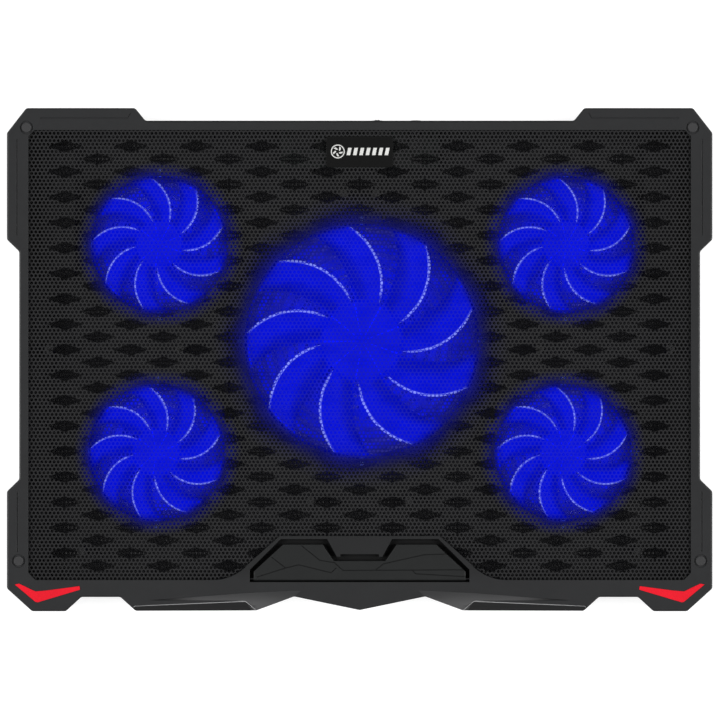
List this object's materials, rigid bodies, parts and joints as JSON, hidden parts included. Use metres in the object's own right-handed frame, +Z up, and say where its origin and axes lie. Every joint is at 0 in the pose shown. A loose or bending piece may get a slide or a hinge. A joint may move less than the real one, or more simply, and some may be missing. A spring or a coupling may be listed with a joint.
{
  "type": "laptop cooling pad",
  "caption": "Flat laptop cooling pad with a perforated deck over lit fans, a flip-up laptop stop, fold-out back legs and USB sockets.",
  "frame": {"origin": "centre of the pad's footprint, on the surface that it stands on", "axes": "+X to the right along the pad's width, +Y towards its back edge, +Z up"},
  "size_m": [0.4, 0.2854, 0.028],
  "materials": {
    "frame_plastic": "satin moulded",
    "base_plastic": "fine grain",
    "stop_plastic": "satin moulded",
    "mesh_paint": "black powder coat",
    "badge_plastic": "gloss",
    "badge_print": "printed white",
    "accent_silver": "silver line",
    "red_plastic": "satin red",
    "rubber": "matt",
    "leg_plastic": "satin moulded",
    "screw_steel": "black zinc",
    "pin_steel": "bright",
    "fan_plastic": "moulded",
    "rotor_blue": "lit translucent blue",
    "rotor_edge": "lit blade edge",
    "magnet_ferrite": "plastic-bonded ferrite",
    "bearing_brass": "sintered bronze",
    "stator_iron": "laminated core with copper windings",
    "lamp_blue": "clear blue lamp",
    "lead_pvc": "flat two-wire lead",
    "board_green": "solder-masked board",
    "usb_steel": "bright nickel",
    "usb_plastic": "moulded",
    "control_plastic": "moulded"
  },
  "bodies": {
    "case": {"top_frame": "frame_plastic", "mesh_panel": "mesh_paint", "badge": "badge_plastic", "trim_left": "red_plastic", "trim_right": "red_plastic", "corner_pads": "rubber", "base_cover": "base_plastic", "rubber_feet": "rubber", "case_screws": "screw_steel", "fan_screws": "screw_steel", "stop_pin_left": "pin_steel", "stop_pin_right": "pin_steel", "leg_pin_left": "pin_steel", "leg_pin_right": "pin_steel", "fan_lamps": "lamp_blue", "fan_leads": "lead_pvc", "control_board": "board_green", "usb_socket_left": "usb_steel", "usb_socket_right": "usb_steel", "usb_cores": "usb_plastic", "speed_control": "control_plastic", "button_switch": "control_plastic", "fan_centre_frame": "fan_plastic", "fan_centre_bearing": "bearing_brass", "fan_centre_stator": "stator_iron", "fan_back_left_frame": "fan_plastic", "fan_back_left_bearing": "bearing_brass", "fan_back_left_stator": "stator_iron", "fan_back_right_frame": "fan_plastic", "fan_back_right_bearing": "bearing_brass", "fan_back_right_stator": "stator_iron", "fan_front_left_frame": "fan_plastic", "fan_front_left_bearing": "bearing_brass", "fan_front_left_stator": "stator_iron", "fan_front_right_frame": "fan_plastic", "fan_front_right_bearing": "bearing_brass", "fan_front_right_stator": "stator_iron"},
    "laptop_stop": {"stop_plate": "stop_plastic"},
    "leg_left_body": {"leg_left": "leg_plastic", "leg_tip_left": "rubber"},
    "leg_right_body": {"leg_right": "leg_plastic", "leg_tip_right": "rubber"},
    "speed_wheel_body": {"speed_wheel": "control_plastic"},
    "lamp_button_body": {"lamp_button": "control_plastic"},
    "fan_centre_spinner": {"fan_centre_rotor": "rotor_blue", "fan_centre_magnet": "magnet_ferrite", "fan_centre_shaft": "pin_steel"},
    "fan_back_left_spinner": {"fan_back_left_rotor": "rotor_blue", "fan_back_left_magnet": "magnet_ferrite", "fan_back_left_shaft": "pin_steel"},
    "fan_back_right_spinner": {"fan_back_right_rotor": "rotor_blue", "fan_back_right_magnet": "magnet_ferrite", "fan_back_right_shaft": "pin_steel"},
    "fan_front_left_spinner": {"fan_front_left_rotor": "rotor_blue", "fan_front_left_magnet": "magnet_ferrite", "fan_front_left_shaft": "pin_steel"},
    "fan_front_right_spinner": {"fan_front_right_rotor": "rotor_blue", "fan_front_right_magnet": "magnet_ferrite", "fan_front_right_shaft": "pin_steel"}
  },
  "joints": [
    {"name": "stop_hinge", "type": "hinge", "parent": "case", "child": "laptop_stop", "pos_m": [0, -0.1243, 0.0259], "axis": [1, 0, 0], "range_deg": [0, 90]},
    {"name": "leg_left_hinge", "type": "hinge", "parent": "case", "child": "leg_left_body", "pos_m": [-0.172, 0.116, 0.0053], "axis": [1, 0, 0], "range_deg": [0, 105]},
    {"name": "leg_right_hinge", "type": "hinge", "parent": "case", "child": "leg_right_body", "pos_m": [0.172, 0.116, 0.0053], "axis": [1, 0, 0], "range_deg": [0, 105]},
    {"name": "speed_wheel_turn", "type": "hinge", "parent": "case", "child": "speed_wheel_body", "pos_m": [0.01, 0.1286, 0.015], "axis": [0, 0, 1], "range_deg": [0, 270]},
    {"name": "lamp_button_press", "type": "slide", "parent": "case", "child": "lamp_button_body", "axis": [0, -1, 0], "range_m": [0, 0.001], "stiffness_N_per_m": 400},
    {"name": "fan_centre_spin", "type": "hinge", "parent": "case", "child": "fan_centre_spinner", "pos_m": [0.0013, 0.0106, 0.0165], "axis": [0, 0, 1], "continuous": true},
    {"name": "fan_back_left_spin", "type": "hinge", "parent": "case", "child": "fan_back_left_spinner", "pos_m": [-0.1139, 0.0655, 0.0165], "axis": [0, 0, 1], "continuous": true},
    {"name": "fan_back_right_spin", "type": "hinge", "parent": "case", "child": "fan_back_right_spinner", "pos_m": [0.1174, 0.0654, 0.0165], "axis": [0, 0, 1], "continuous": true},
    {"name": "fan_front_left_spin", "type": "hinge", "parent": "case", "child": "fan_front_left_spinner", "pos_m": [-0.1154, -0.0529, 0.0165], "axis": [0, 0, 1], "continuous": true},
    {"name": "fan_front_right_spin", "type": "hinge", "parent": "case", "child": "fan_front_right_spinner", "pos_m": [0.1158, -0.0529, 0.0165], "axis": [0, 0, 1], "continuous": true}
  ]
}
